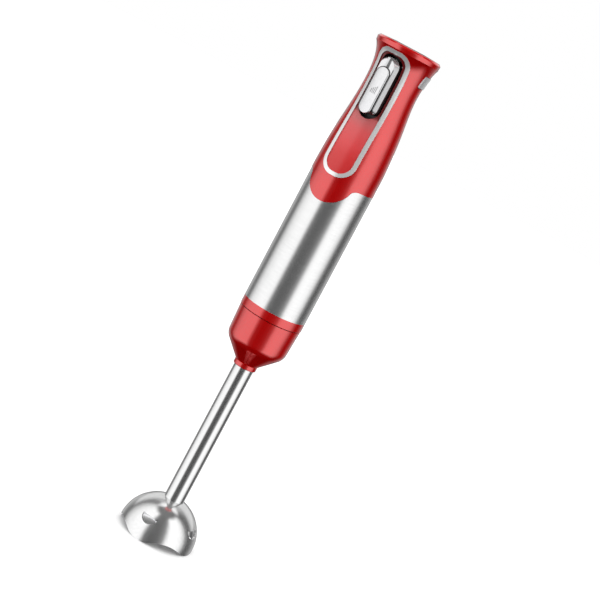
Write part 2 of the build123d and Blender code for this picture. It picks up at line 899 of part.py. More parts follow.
# ---- side button --------------------------------------------------------
button_middle_y = (button_front_y + button_back_y) / 2
button_middle_z = (button_bottom_z + button_top_z) / 2
button_inner_x = 17.0
with BuildPart() as side_button:
    with BuildSketch(Plane.YZ.offset(button_inner_x)):
        with Locations((button_middle_y, button_middle_z)):
            RectangleRounded(button_back_y - button_front_y, button_top_z - button_bottom_z, 1.0)
    extrude(amount=body_r - button_inner_x)
    add(skin(0.6), mode=Mode.INTERSECT)
    with BuildSketch(Plane.YZ.offset(button_inner_x)):
        with Locations((button_middle_y, button_middle_z)):
            Circle(1.6)
    extrude(amount=-2.0)
save(side_button.part, "side_button")

well_side_x = opening_half_width + well_wall
button_spring_length = button_inner_x - well_side_x - 2 * spring_end_gap
button_spring_start = (well_side_x + spring_end_gap, button_middle_y, button_middle_z)
save(coil_spring(button_spring_start, (1, 0, 0), 2.4, 0.3, button_spring_length, 5), "side_button_spring")

# ---- motor: stator side -------------------------------------------------
lower_bracket_z = 212.0
stator_top_z = stator_bottom_z + stator_height
upper_bracket_z = 292.0
bearing_r = 9.5
bearing_width = 6.0
pole_gap_r = armature_r + armature_gap
bracket_screw_r = 1.2
bracket_screw_circle = 17.5
coil_inner_x = 12.0
coil_depth = 3.5
coil_leg_y = 10.5
coil_leg_width = 3.0

with BuildPart() as lower_bracket:
    with BuildSketch(Plane.XY.offset(lower_bracket_z)):
        Circle(stator_r + 0.8)
        Circle(rotor_shaft_r + 2, mode=Mode.SUBTRACT)
        with PolarLocations(bracket_screw_circle, 3):
            Circle(bracket_screw_r + 0.2, mode=Mode.SUBTRACT)
        with PolarLocations(16, 6, start_angle=30):
            Circle(2.6, mode=Mode.SUBTRACT)
    extrude(amount=2.0)
    with BuildSketch(Plane.XY.offset(lower_bracket_z + 2.0)):
        Circle(bearing_r + 1.6)
        Circle(bearing_r, mode=Mode.SUBTRACT)
    extrude(amount=bearing_width)
save(lower_bracket.part, "lower_bracket")
save(
    ball_bearing(rotor_shaft_r + running, bearing_r, lower_bracket_z + 2.0, bearing_width, 1.7, 8),
    "lower_bearing",
)

with BuildPart() as upper_bracket:
    with BuildSketch(Plane.XY.offset(upper_bracket_z)):
        Circle(bearing_r + 1.8)
        Rectangle(2 * (stator_r - 0.5), 10)
        Circle(bearing_r - 0.5, mode=Mode.SUBTRACT)
    extrude(amount=1.6)
    with BuildSketch(Plane.XY.offset(upper_bracket_z + 1.6)):
        Circle(bearing_r + 1.8)
        Circle(bearing_r, mode=Mode.SUBTRACT)
    extrude(amount=bearing_width)
    with BuildSketch(Plane.XY.offset(upper_bracket_z + 1.6 + bearing_width)):
        Circle(bearing_r + 1.8)
    extrude(amount=1.4)
    # two legs that stand on the stator
    with BuildSketch(Plane.XY.offset(stator_top_z)):
        with Locations((0, stator_r - 4.0), (0, 4.0 - stator_r)):
            Rectangle(10, 3.0)
    extrude(amount=upper_bracket_z - stator_top_z)
    with BuildSketch(Plane.XY.offset(upper_bracket_z)):
        with Locations((0, stator_r - 7.5), (0, 7.5 - stator_r)):
            Rectangle(10, 10)
        Circle(bearing_r, mode=Mode.SUBTRACT)
    extrude(amount=1.6)
save(upper_bracket.part, "upper_bracket")
save(
    ball_bearing(rotor_shaft_r + running, bearing_r, upper_bracket_z + 1.6, bearing_width, 1.7, 8),
    "upper_bearing",
)

with BuildPart() as stator_core:
    with BuildSketch(Plane.XY.offset(stator_bottom_z)):
        Circle(stator_r)
        Circle(pole_gap_r, mode=Mode.SUBTRACT)
        # slots for the legs of the two field coils
        with GridLocations(2 * (coil_inner_x + coil_depth / 2), 2 * coil_leg_y, 2, 2):
            Rectangle(coil_depth + 0.4, coil_leg_width + 0.4, mode=Mode.SUBTRACT)
    extrude(amount=stator_height)
save(stator_core.part, "stator_core")

with BuildPart() as field_coils:
    for side in (1, -1):
        with BuildSketch(Plane.YZ.offset(side * coil_inner_x)):
            with Locations((0, stator_bottom_z + stator_height / 2)):
                RectangleRounded(2 * coil_leg_y + coil_leg_width, stator_height + 14, 4)
                RectangleRounded(
                    2 * coil_leg_y - coil_leg_width, stator_height + 1.0, 0.4, mode=Mode.SUBTRACT
                )
        extrude(amount=side * coil_depth)
save(field_coils.part, "field_coils")

save(ring_part(stator_r + 0.8, stator_r - 1.0, 206.0, lower_bracket_z), "lower_rubber_mount")
upper_mount_z = upper_bracket_z + 1.6 + bearing_width + 1.4
with BuildPart() as upper_rubber_mount:
    add(ring_part(bearing_r + 1.8, 0, upper_mount_z, upper_mount_z + 3))
save(upper_rubber_mount.part, "upper_rubber_mount")

with BuildPart() as motor_cap:
    with BuildSketch(Plane.XY.offset(upper_mount_z + 3)):
        Circle(skirt_inner_r - 0.1)
        # ways through for the leads and the cooling air
        with Locations((16.4, 5.6), (-16.4, 5.6), (11, -13), (-11, -13), (0, 16.5)):
            Circle(3.6, mode=Mode.SUBTRACT)
    extrude(amount=2.4)
save(motor_cap.part, "motor_cap")

with BuildPart() as bracket_screws:
    for turn in range(0, 360, 120):
        with BuildSketch(Plane.XY.offset(206.2).rotated((0, 0, turn))):
            with Locations((bracket_screw_circle, 0)):
                Circle(bracket_screw_r)
        extrude(amount=lower_bracket_z + 2.0 - 206.2)
        with BuildSketch(Plane.XY.offset(lower_bracket_z + 2.0).rotated((0, 0, turn))):
            with Locations((bracket_screw_circle, 0)):
                Circle(2.4)
        extrude(amount=1.6)
save(bracket_screws.part, "bracket_screws")

# brush gear on the X axis
commutator_r = 8.0
commutator_z = 281.0
commutator_height = 9.0
brush_z = commutator_z + commutator_height / 2
brush_y_half = 2.2
brush_z_half = 3.0
brush_inner_x = commutator_r + 0.15
brush_outer_x = 14.0
holder_outer_x = stator_r - 0.5
with BuildPart() as brush_holders:
    for side in (1, -1):
        with BuildSketch(Plane.YZ.offset(side * (brush_inner_x + 1.4))):
            with Locations((0, brush_z)):
                Rectangle(2 * brush_y_half + 1.8, 2 * brush_z_half + 1.8)
                Rectangle(2 * brush_y_half, 2 * brush_z_half, mode=Mode.SUBTRACT)
        extrude(amount=side * (holder_outer_x - brush_inner_x - 1.4))
        with BuildSketch(Plane.YZ.offset(side * (holder_outer_x - 0.8))):
            with Locations((0, brush_z)):
                Rectangle(2 * brush_y_half + 1.8, 2 * brush_z_half + 1.8)
        extrude(amount=side * 0.8)
save(brush_holders.part, "brush_holders")

with BuildPart() as carbon_brushes:
    for side in (1, -1):
        with BuildSketch(Plane.YZ.offset(side * brush_inner_x)):
            with Locations((0, brush_z)):
                Rectangle(2 * brush_y_half, 2 * brush_z_half)
        extrude(amount=side * (brush_outer_x - brush_inner_x))
save(carbon_brushes.part, "carbon_brushes")

brush_spring_length = holder_outer_x - 0.8 - brush_outer_x - 2 * spring_end_gap
with BuildPart() as brush_springs:
    for side in (1, -1):
        start = (side * (brush_outer_x + spring_end_gap), 0, brush_z)
        add(coil_spring(start, (side, 0, 0), 1.5, 0.3, brush_spring_length, 4))
save(brush_springs.part, "brush_springs")

# ---- rotor --------------------------------------------------------------
with BuildPart() as rotor_shaft:
    with BuildSketch(Plane.XY.offset(188.0)):
        Circle(rotor_shaft_r)
    extrude(amount=upper_bracket_z + 1.6 + bearing_width - 0.3 - 188.0)
save(rotor_shaft.part, "rotor_shaft")

with BuildPart() as armature_core:
    with BuildSketch(Plane.XY.offset(stator_bottom_z + 1)):
        Circle(armature_r)
        with PolarLocations(9.4, 12):
            Circle(1.6, mode=Mode.SUBTRACT)
        with PolarLocations(11.6, 12):
            Rectangle(2.0, 1.0, mode=Mode.SUBTRACT)
        Circle(rotor_shaft_r, mode=Mode.SUBTRACT)
    extrude(amount=stator_height - 2)
save(armature_core.part, "armature_core")

with BuildPart() as armature_winding:
    for low, high in ((stator_bottom_z - 4.6, stator_bottom_z + 1), (stator_top_z - 1, stator_top_z + 5)):
        with BuildSketch(Plane.XY.offset(low)):
            Circle(10.6)
            Circle(rotor_shaft_r, mode=Mode.SUBTRACT)
        extrude(amount=high - low)
    outer_edges = armature_winding.edges().filter_by(GeomType.CIRCLE).filter_by(lambda e: e.radius > 10)
    fillet([outer_edges.sort_by(Axis.Z)[0], outer_edges.sort_by(Axis.Z)[-1]], 2.0)
    with BuildSketch(Plane.XY.offset(stator_bottom_z + 1)):
        with PolarLocations(9.4, 12):
            Circle(1.55)
    extrude(amount=stator_height - 2)
save(armature_winding.part, "armature_winding")

with BuildPart() as commutator:
    with BuildSketch(Plane.XY.offset(commutator_z)):
        Circle(commutator_r)
        with PolarLocations(commutator_r, 24):
            Rectangle(1.6, 0.4, mode=Mode.SUBTRACT)
        Circle(rotor_shaft_r, mode=Mode.SUBTRACT)
    extrude(amount=commutator_height)
save(commutator.part, "commutator")

fan_z = 221.2
fan_blade_count = 9
with BuildPart() as cooling_fan:
    with BuildSketch(Plane.XY.offset(fan_z)):
        Circle(18.5)
        Circle(rotor_shaft_r, mode=Mode.SUBTRACT)
    extrude(amount=1.2)
    with BuildSketch(Plane.XY.offset(fan_z + 1.2)):
        Circle(6.0)
        Circle(rotor_shaft_r, mode=Mode.SUBTRACT)
        with PolarLocations(12.6, fan_blade_count):
            Rectangle(11.4, 1.1, rotation=22)
    extrude(amount=5.6)
save(cooling_fan.part, "cooling_fan")

with BuildPart() as drive_coupling:
    with BuildSketch(Plane.XY.offset(183.4)):
        Circle(4.8)
        Rectangle(2 * wing_r, 3.2)
    extrude(amount=4.6)
    with BuildSketch(Plane.XY.offset(188.0)):
        Circle(5.6)
        Circle(rotor_shaft_r, mode=Mode.SUBTRACT)
    extrude(amount=12.0)
save(drive_coupling.part, "drive_coupling")

# ---- electrics ----------------------------------------------------------
with BuildPart() as circuit_board:
    with BuildSketch(Plane.XZ.offset(-board_y)):
        with Locations((0, 361)):
            RectangleRounded(30, 80, 2)
        for height in board_screw_heights:
            with Locations((-board_screw_x, height), (board_screw_x, height)):
                Circle(1.4, mode=Mode.SUBTRACT)
    extrude(amount=-board_thickness)
save(circuit_board.part, "circuit_board")

with BuildPart() as board_screws:
    for height in board_screw_heights:
        with BuildSketch(Plane.XZ.offset(-board_y)):
            with Locations((-board_screw_x, height), (board_screw_x, height)):
                Circle(2.3)
        extrude(amount=1.5)
        with BuildSketch(Plane.XZ.offset(-board_y)):
            with Locations((-board_screw_x, height), (board_screw_x, height)):
                Circle(board_screw_r)
        extrude(amount=-board_screw_length)
save(board_screws.part, "board_screws")

with BuildPart() as suppressor_capacitor:
    with BuildSketch(Plane.XZ.offset(-board_y)):
        with Locations((0, 350)):
            RectangleRounded(18, 12, 1)
    extrude(amount=11)
save(suppressor_capacitor.part, "suppressor_capacitor")

with BuildPart() as board_components:
    with BuildSketch(Plane.XZ.offset(-board_y)):
        with Locations((-9, 366), (9, 366)):
            Circle(2.6)
        with Locations((0, 372)):
            Rectangle(10, 4)
        with Locations((0, 331)):
            Rectangle(8, 9)
    extrude(amount=5)
save(board_components.part, "board_components")

switch_front_y = -8.0
switch_bore_y = -2.0
with BuildPart() as speed_switch:
    with BuildSketch(Plane.XZ.offset(-board_y)):
        with Locations((0, plunger_z)):
            RectangleRounded(14, 12, 1)
    extrude(amount=board_y - switch_front_y)
    with BuildSketch(Plane.XZ.offset(-switch_front_y)):
        with Locations((0, plunger_z)):
            Circle(plunger_r + 0.1)
    extrude(amount=switch_front_y - switch_bore_y, mode=Mode.SUBTRACT)
save(speed_switch.part, "speed_switch")

plunger_front_y = carrier_back_y + gap
plunger_back_y = -5.0
with BuildPart() as switch_plunger:
    with BuildSketch(Plane.XZ.offset(-plunger_back_y)):
        with Locations((0, plunger_z)):
            Circle(plunger_r)
    extrude(amount=plunger_back_y - plunger_front_y)
    fillet(switch_plunger.faces().sort_by(Axis.Y)[0].edges(), 0.5)
save(switch_plunger.part, "switch_plunger")

# ---- leads from the board down to the brush holders ---------------------
lead_r = 0.9
with BuildPart() as motor_leads:
    for side in (1, -1):
        with BuildLine() as route:
            FilletPolyline(
                (side * 13.0, board_y - 1.0, 325.0),
                (side * 13.0, board_y - 1.0, 312.0),
                (side * 18.8, 7.5, 300.0),
                (side * 18.8, 7.5, 284.0),
                radius=6,
            )
        with BuildSketch(Plane(origin=route.line @ 0, z_dir=route.line % 0)):
            Circle(lead_r)
        sweep(path=route.line)
save(motor_leads.part, "motor_leads")
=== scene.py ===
import json
import math

import bmesh
import bpy
from mathutils import Matrix, Vector

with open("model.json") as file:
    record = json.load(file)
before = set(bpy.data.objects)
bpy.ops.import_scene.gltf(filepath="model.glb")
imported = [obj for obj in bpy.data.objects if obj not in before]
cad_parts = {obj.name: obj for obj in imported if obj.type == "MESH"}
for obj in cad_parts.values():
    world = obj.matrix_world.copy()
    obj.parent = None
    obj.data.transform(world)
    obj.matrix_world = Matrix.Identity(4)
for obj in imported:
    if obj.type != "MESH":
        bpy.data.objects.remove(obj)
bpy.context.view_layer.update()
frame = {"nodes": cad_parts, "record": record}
nodes = frame["nodes"]

scene = bpy.context.scene
scene.view_settings.view_transform = "Standard"


# ---- camera ---------------------------------------------------------------
# metres and radians, in the part's frame; the tool stands on its bell at the origin
AZIMUTH = math.radians(21.5)      # the camera stands this far round towards +X
PITCH = math.radians(9.6)         # looks down
ROLL = math.radians(28.12)        # the tool leans to the right in the picture
YAW = math.radians(0.655)         # the tool stands a little left of the centre
DISTANCE = 1.2334                 # horizontally, from the tool's axis
EYE_HEIGHT = 0.4339
LENS = 95.58                      # millimetres, on a 36 mm sensor
SENSOR = 36.0
UP = Vector((0, 0, 1))


def make_camera():
    """Looks down at the tool from its front right, rolled so that the tool leans."""
    back = Vector((math.sin(AZIMUTH), -math.cos(AZIMUTH), 0.0))
    level = Matrix.Rotation(-YAW, 3, "Z") @ (-back)
    right = level.cross(UP).normalized()
    forward = (level * math.cos(PITCH) - UP * math.sin(PITCH)).normalized()
    up = right.cross(forward).normalized()
    turned_right = right * math.cos(ROLL) + up * math.sin(ROLL)
    turned_up = up * math.cos(ROLL) - right * math.sin(ROLL)
    data = bpy.data.cameras.new("camera")
    data.lens = LENS
    data.sensor_width = SENSOR
    data.clip_start = 0.01
    data.clip_end = 50.0
    camera = bpy.data.objects.new("camera", data)
    scene.collection.objects.link(camera)
    axes = Matrix((turned_right, turned_up, -forward)).transposed()
    eye = back * DISTANCE + UP * EYE_HEIGHT
    camera.matrix_world = Matrix.Translation(eye) @ axes.to_4x4()
    scene.camera = camera


make_camera()


# ---- shader building blocks -------------------------------------------------
NOISE_DETAIL = 3.0
TONE_SPAN = (0.3, 0.7)            # the noise values between which a colour changes
POLISH_SPAN = (0.25, 0.75)        # and a number
WAVE_RATE = 20                    # radians per metre along an axis in a wave texture of scale 1
EVEN = (1, 1, 1)                  # noise that is stretched along no axis
RING_GRAIN = (0.04, 0.04, 1.0)    # brushing and turning marks that run round the tool's axis
BLADE_GRAIN = (1.0, 0.05, 1.0)    # grinding marks along Y


def grey(level):
    return (level, level, level)


def maths(tree, operation, first, second=None):
    """One step of arithmetic on numbers or sockets."""
    node = tree.nodes.new("ShaderNodeMath")
    node.operation = operation
    for socket, value in zip(node.inputs, (first, second)):
        if value is None:
            continue
        if isinstance(value, (int, float)):
            socket.default_value = value
        else:
            tree.links.new(value, socket)
    return node.outputs[0]


def smooth_step(tree, value, low, high, start=0.0, end=1.0):
    """Goes smoothly from start to end while value goes from low to high."""
    step = tree.nodes.new("ShaderNodeMapRange")
    step.interpolation_type = "SMOOTHSTEP"
    step.inputs["From Min"].default_value = low
    step.inputs["From Max"].default_value = high
    step.inputs["To Min"].default_value = start
    step.inputs["To Max"].default_value = end
    tree.links.new(value, step.inputs["Value"])
    return step.outputs["Result"]


def ramp(tree, value, stops):
    """A colour ramp through (position, colour) stops."""
    node = tree.nodes.new("ShaderNodeValToRGB")
    elements = node.color_ramp.elements
    while len(elements) > 1:
        elements.remove(elements[-1])
    for index, (position, colour) in enumerate(stops):
        element = elements[0] if index == 0 else elements.new(position)
        element.position = position
        element.color = (*colour, 1.0)
    tree.links.new(value, node.inputs["Fac"])
    return node.outputs["Color"]


def mix_colours(tree, factor, first, second):
    """Goes from the first colour to the second as factor goes from 0 to 1."""
    node = tree.nodes.new("ShaderNodeMix")
    node.data_type = "RGBA"
    tree.links.new(factor, node.inputs["Factor"])
    for name, value in (("A", first), ("B", second)):
        socket = [s for s in node.inputs if s.name == name and s.type == "RGBA"][0]
        if isinstance(value, tuple):
            socket.default_value = (*value, 1.0)
        else:
            tree.links.new(value, socket)
    return [s for s in node.outputs if s.type == "RGBA"][0]


def object_place(tree):
    """The point being shaded, in metres in the piece's own space."""
    return tree.nodes.new("ShaderNodeTexCoord").outputs["Object"]


def object_axes(tree):
    """The same point as separate X, Y and Z sockets."""
    split = tree.nodes.new("ShaderNodeSeparateXYZ")
    tree.links.new(object_place(tree), split.inputs["Vector"])
    return split.outputs


def noise(tree, scale, stretch=EVEN):
    """Noise in the piece's own space; a small stretch makes it long along that axis."""
    mapping = tree.nodes.new("ShaderNodeMapping")
    mapping.inputs["Scale"].default_value = stretch
    tree.links.new(object_place(tree), mapping.inputs["Vector"])
    texture = tree.nodes.new("ShaderNodeTexNoise")
    texture.inputs["Scale"].default_value = scale
    texture.inputs["Detail"].default_value = NOISE_DETAIL
    tree.links.new(mapping.outputs["Vector"], texture.inputs["Vector"])
    return texture.outputs["Fac"]


def mottle(tree, grain, dark, light):
    """A colour that wanders between dark and light with the noise in grain."""
    low, high = TONE_SPAN
    return ramp(tree, grain, [(low, dark), (high, light)])


def uneven(tree, scale, limits, stretch=EVEN):
    """A number that wanders between two limits."""
    return smooth_step(tree, noise(tree, scale, stretch), *POLISH_SPAN, *limits)


def bands(tree, period, direction, waver):
    """Repeating stripes, used for laminations, windings and commutator bars."""
    texture = tree.nodes.new("ShaderNodeTexWave")
    texture.bands_direction = direction
    texture.inputs["Scale"].default_value = 2 * math.pi / (WAVE_RATE * period)
    texture.inputs["Distortion"].default_value = waver
    tree.links.new(object_place(tree), texture.inputs["Vector"])
    return texture.outputs["Fac"]


def bump(tree, height, depth):
    """Raises the surface by up to depth metres where height is 1."""
    node = tree.nodes.new("ShaderNodeBump")
    node.inputs["Strength"].default_value = 1.0
    node.inputs["Distance"].default_value = depth
    tree.links.new(height, node.inputs["Height"])
    return node.outputs["Normal"]


def new_material(name):
    material = bpy.data.materials.new(name)
    material.use_nodes = True
    tree = material.node_tree
    return material, tree, tree.nodes["Principled BSDF"]


def set_values(shader, **values):
    """Sets sockets by name, with _ for each space."""
    for name, value in values.items():
        shader.inputs[name.replace("_", " ")].default_value = value


# ---- light ------------------------------------------------------------------
# What shiny surfaces reflect: (bearing, brightness). Bearings are in degrees from the camera's
# side, round to its right.
STUDIO_RING = [
    # a dim strip behind the tool, on the left
    (-180, 0.12), (-168, 0.16), (-154, 0.50), (-140, 0.36), (-128, 0.10), (-118, 0.12),
    # the left light box
    (-106, 0.62), (-92, 1.08), (-72, 1.30), (-50, 1.36), (-37, 1.28), (-30, 0.52),
    # a dark gap in front
    (-24, 0.10), (-9, 0.02), (4, 0.03), (16, 0.08), (26, 0.28), (31, 0.66),
    # the right light box
    (37, 1.22), (44, 1.38), (58, 1.42), (76, 1.30), (87, 0.94), (98, 0.24),
    # a dark gap, and a dim strip behind the tool, on the right
    (108, 0.01), (120, 0.03), (134, 0.20), (152, 0.50), (168, 0.16), (180, 0.12),
]
RING_SCALE = 2.0                  # ramp colours are kept below 1, and scaled back by this

# Directions are unit vectors. Heights are their upward part, and depths their part towards the camera.
WALL_HEIGHTS = (0.02, 0.28)       # the pale wall behind the tool fades in over these heights
WALL_DEPTHS = (-0.72, -0.36)      # and out again over these depths
WALL_LEVEL = 0.80
ROOF_HEIGHTS = (0.86, 0.955)      # the ring gives way to the roof
ROOF_DEPTHS = (-0.20, -0.05)      # the roof is light behind these depths and dark in front
ROOF_LIGHT, ROOF_DARK = 1.3, 0.06
PIT_HEIGHTS = (-0.80, -0.50)      # the pit below is dark
PIT_LEVEL = 0.01
SOFT_HEIGHTS = (-0.7, 0.6)        # light on matt surfaces grows from below to above
SOFT_BELOW, SOFT_ABOVE = 0.20, 1.60
BACKDROP = 1.0                    # what the camera sees past the floor


def make_world():
    """Light that depends on which kind of ray asks for it."""
    world = bpy.data.worlds.new("studio")
    scene.world = world
    world.cycles.sampling_method = "NONE"
    world.use_nodes = True
    tree = world.node_tree
    tree.nodes.clear()
    position = tree.nodes.new("ShaderNodeTexCoord").outputs["Generated"]
    turn = tree.nodes.new("ShaderNodeVectorRotate")
    turn.rotation_type = "Z_AXIS"
    turn.inputs["Angle"].default_value = -AZIMUTH
    tree.links.new(position, turn.inputs["Vector"])
    split = tree.nodes.new("ShaderNodeSeparateXYZ")
    tree.links.new(turn.outputs["Vector"], split.inputs["Vector"])
    towards_camera = maths(tree, "MULTIPLY", split.outputs["Y"], -1.0)
    bearing = maths(tree, "ARCTAN2", split.outputs["X"], towards_camera)
    place = maths(tree, "ADD", maths(tree, "DIVIDE", bearing, 2 * math.pi), 0.5)
    stops = [((degrees + 180) / 360, grey(level / RING_SCALE)) for degrees, level in STUDIO_RING]
    ring = maths(tree, "MULTIPLY", ramp(tree, place, stops), RING_SCALE)
    height = split.outputs["Z"]
    # a pale wall rises behind the tool, clear of what the upright sides reflect
    wall = maths(tree, "MULTIPLY", smooth_step(tree, height, *WALL_HEIGHTS),
                 smooth_step(tree, towards_camera, *WALL_DEPTHS, WALL_LEVEL, 0.0))
    ring = maths(tree, "MAXIMUM", ring, wall)
    into_roof = smooth_step(tree, height, *ROOF_HEIGHTS)
    roof = smooth_step(tree, towards_camera, *ROOF_DEPTHS, ROOF_LIGHT, ROOF_DARK)
    above = maths(tree, "ADD",
                  maths(tree, "MULTIPLY", ring, maths(tree, "SUBTRACT", 1.0, into_roof)),
                  maths(tree, "MULTIPLY", roof, into_roof))
    out_of_pit = smooth_step(tree, height, *PIT_HEIGHTS, PIT_LEVEL, 1.0)
    reflected = maths(tree, "MULTIPLY", above, out_of_pit)
    soft = smooth_step(tree, height, *SOFT_HEIGHTS, SOFT_BELOW, SOFT_ABOVE)
    # shiny surfaces get the reflected studio, matt ones the soft light, and the camera the backdrop
    paths = tree.nodes.new("ShaderNodeLightPath")
    glossy = tree.nodes.new("ShaderNodeMix")
    tree.links.new(paths.outputs["Is Glossy Ray"], glossy.inputs["Factor"])
    tree.links.new(soft, glossy.inputs["A"])
    tree.links.new(reflected, glossy.inputs["B"])
    seen = tree.nodes.new("ShaderNodeMix")
    tree.links.new(paths.outputs["Is Camera Ray"], seen.inputs["Factor"])
    tree.links.new(glossy.outputs["Result"], seen.inputs["A"])
    seen.inputs["B"].default_value = BACKDROP
    shade = tree.nodes.new("ShaderNodeBackground")
    tree.links.new(seen.outputs["Result"], shade.inputs["Color"])
    out = tree.nodes.new("ShaderNodeOutputWorld")
    tree.links.new(shade.outputs["Background"], out.inputs["Surface"])


make_world()


FLOOR_RADIUS = 6.0
FLOOR_GLOW = 0.04                 # lifts the floor to pure white, all but the contact shadow


def make_floor():
    """A white floor that only the camera sees, so the steel doesn't mirror it."""
    bm = bmesh.new()
    bmesh.ops.create_circle(bm, cap_ends=True, radius=FLOOR_RADIUS, segments=96)
    mesh = bpy.data.meshes.new("floor")
    bm.to_mesh(mesh)
    bm.free()
    floor = bpy.data.objects.new("floor", mesh)
    scene.collection.objects.link(floor)
    material, tree, shader = new_material("floor")
    tree.links.new(mottle(tree, noise(tree, 3.0), grey(0.80), grey(0.82)), shader.inputs["Base Color"])
    set_values(shader, Roughness=0.7, Specular_IOR_Level=0.0, Emission_Color=(1.0, 1.0, 1.0, 1.0),
               Emission_Strength=FLOOR_GLOW)
    mesh.materials.append(material)
    floor.visible_glossy = False
    floor.visible_diffuse = False


make_floor()


# ---- materials ----------------------------------------------------------------
SLOTS = {}


def metal(slot, tones, roughness, scale, stretch=EVEN, depth=0.0, metallic=1.0):
    """Bare metal whose tone, polish and surface vary along its grain.

    tones and roughness are the pairs they wander between, and depth is the height of the grain
    in metres.
    """
    material, tree, shader = new_material(slot)
    grain = noise(tree, scale, stretch)
    tree.links.new(mottle(tree, grain, *tones), shader.inputs["Base Color"])
    tree.links.new(uneven(tree, scale / 3, roughness, stretch), shader.inputs["Roughness"])
    set_values(shader, Metallic=metallic, Specular_IOR_Level=0.0)
    if depth:
        tree.links.new(bump(tree, grain, depth), shader.inputs["Normal"])
    SLOTS[slot] = material
    return tree, shader


def plastic(slot, tones, roughness, scale=900.0, depth=0.00002, **values):
    """Moulded plastic or rubber with faint mottling and a fine grain.

    tones is None where the caller links a colour of its own.
    """
    material, tree, shader = new_material(slot)
    if tones:
        tree.links.new(mottle(tree, noise(tree, scale / 8), *tones), shader.inputs["Base Color"])
    tree.links.new(uneven(tree, scale / 4, roughness), shader.inputs["Roughness"])
    if depth:
        tree.links.new(bump(tree, noise(tree, scale), depth), shader.inputs["Normal"])
    set_values(shader, **values)
    SLOTS[slot] = material
    return tree, shader


# the outside steel
metal("brushed_steel", (grey(0.71), grey(0.77)), (0.13, 0.18), 2600, RING_GRAIN,
      depth=0.000004, metallic=0.86)
metal("brushed_stem", (grey(0.72), grey(0.76)), (0.09, 0.13), 2600, RING_GRAIN,
      depth=0.000003, metallic=0.90)
metal("polished_steel", (grey(0.74), grey(0.78)), (0.12, 0.16), 420, metallic=0.87)
metal("silver_trim", (grey(0.86), grey(0.90)), (0.18, 0.24), 700, metallic=0.5)
metal("silver_button", ((0.74, 0.74, 0.75), (0.80, 0.80, 0.81)), (0.24, 0.30), 900, metallic=0.6)

# the metals inside
metal("machined_steel", ((0.50, 0.50, 0.52), (0.62, 0.62, 0.64)), (0.22, 0.34), 1600, RING_GRAIN, 0.00001)
metal("blade_steel", ((0.66, 0.66, 0.68), (0.76, 0.76, 0.77)), (0.12, 0.22), 1400, BLADE_GRAIN, 0.00001)
metal("bronze", ((0.40, 0.25, 0.12), (0.55, 0.37, 0.19)), (0.30, 0.45), 1200, RING_GRAIN, 0.00002)
metal("cast_aluminium", ((0.55, 0.56, 0.57), (0.68, 0.69, 0.70)), (0.40, 0.55), 900, depth=0.00006)
metal("brass", ((0.62, 0.46, 0.18), (0.75, 0.58, 0.27)), (0.22, 0.34), 700, depth=0.00002)

# plastics, rubber and carbon
plastic("black_plastic", ((0.010, 0.006, 0.006), (0.020, 0.014, 0.014)), (0.30, 0.42))
plastic("rubber", (grey(0.018), grey(0.035)), (0.60, 0.75), depth=0.00005)
plastic("nylon", ((0.74, 0.72, 0.66), (0.82, 0.80, 0.75)), (0.38, 0.50), Subsurface_Weight=0.1,
        Subsurface_Scale=0.002)
plastic("carbon", ((0.03, 0.03, 0.032), (0.07, 0.07, 0.075)), (0.50, 0.65), 2400, 0.00004)
plastic("capacitor_yellow", ((0.62, 0.48, 0.05), (0.74, 0.58, 0.09)), (0.28, 0.38))
plastic("component_black", ((0.020, 0.020, 0.022), (0.040, 0.040, 0.043)), (0.35, 0.50))
plastic("lead_blue", ((0.02, 0.07, 0.34), (0.04, 0.11, 0.46)), (0.40, 0.50))


# painted shade: undersides keep little of the clear coat, so they lose their reflections and look darker
UNDERSIDE_SHADE_FACING = (-0.70, -0.35)      # faces that look down more than this have less coat
UNDERSIDE_SHADE_COAT = 0.1


def make_red_plastic():
    """Glossy lacquered red: tinted reflections under a clear coat."""
    tones = (0.65, 0.0012, 0.0015), (0.69, 0.002, 0.0025)
    tree, shader = plastic("red_plastic", tones, (0.10, 0.15), depth=0.0)
    tree.links.new(bump(tree, noise(tree, 60.0), 0.00004), shader.inputs["Coat Normal"])
    set_values(shader, Metallic=0.40, Coat_Roughness=0.04, Coat_IOR=1.8, Specular_IOR_Level=0.4)
    # the coat thins on faces that look down, as painted shade on the undersides
    facing = tree.nodes.new("ShaderNodeSeparateXYZ")
    geometry = tree.nodes.new("ShaderNodeNewGeometry")
    tree.links.new(geometry.outputs["Normal"], facing.inputs["Vector"])
    tree.links.new(smooth_step(tree, facing.outputs["Z"], *UNDERSIDE_SHADE_FACING, UNDERSIDE_SHADE_COAT, 1.0),
                   shader.inputs["Coat Weight"])


make_red_plastic()


INLAY_FOOT = 0.329                # heights of the inlay's foot and of the trigger opening's lower edge
INLAY_WELL = 0.382
INLAY_WAVER = 0.002               # how far the change of tone wanders up and down
INLAY_TONES_AND_SHADE = [                   # from the foot (0) to the opening (1)
    (0.0, (0.60, 0.010, 0.011)),
    (0.22, (0.66, 0.022, 0.024)),
    (0.45, (0.72, 0.045, 0.050)),
    (0.82, (0.70, 0.075, 0.080)),
    (0.95, (0.60, 0.115, 0.118)),
    (0.985, (0.56, 0.100, 0.102)),
    # painted shade on the strips beside the trigger opening
    (1.0, (0.16, 0.003, 0.004)),
]


def make_inlay():
    """Satin red, lighter than the shell: deep at its foot, paler under the trigger, with painted shade on
    the strips beside it.
    """
    tree, shader = plastic("red_inlay", None, (0.30, 0.38), Coat_Weight=0.35, Coat_Roughness=0.12,
                           Coat_IOR=1.5)
    height = object_axes(tree)["Z"]
    place = maths(tree, "ADD", height, maths(tree, "MULTIPLY", noise(tree, 140.0), INLAY_WAVER))
    along = smooth_step(tree, place, INLAY_FOOT, INLAY_WELL)
    tree.links.new(ramp(tree, along, INLAY_TONES_AND_SHADE), shader.inputs["Base Color"])


make_inlay()
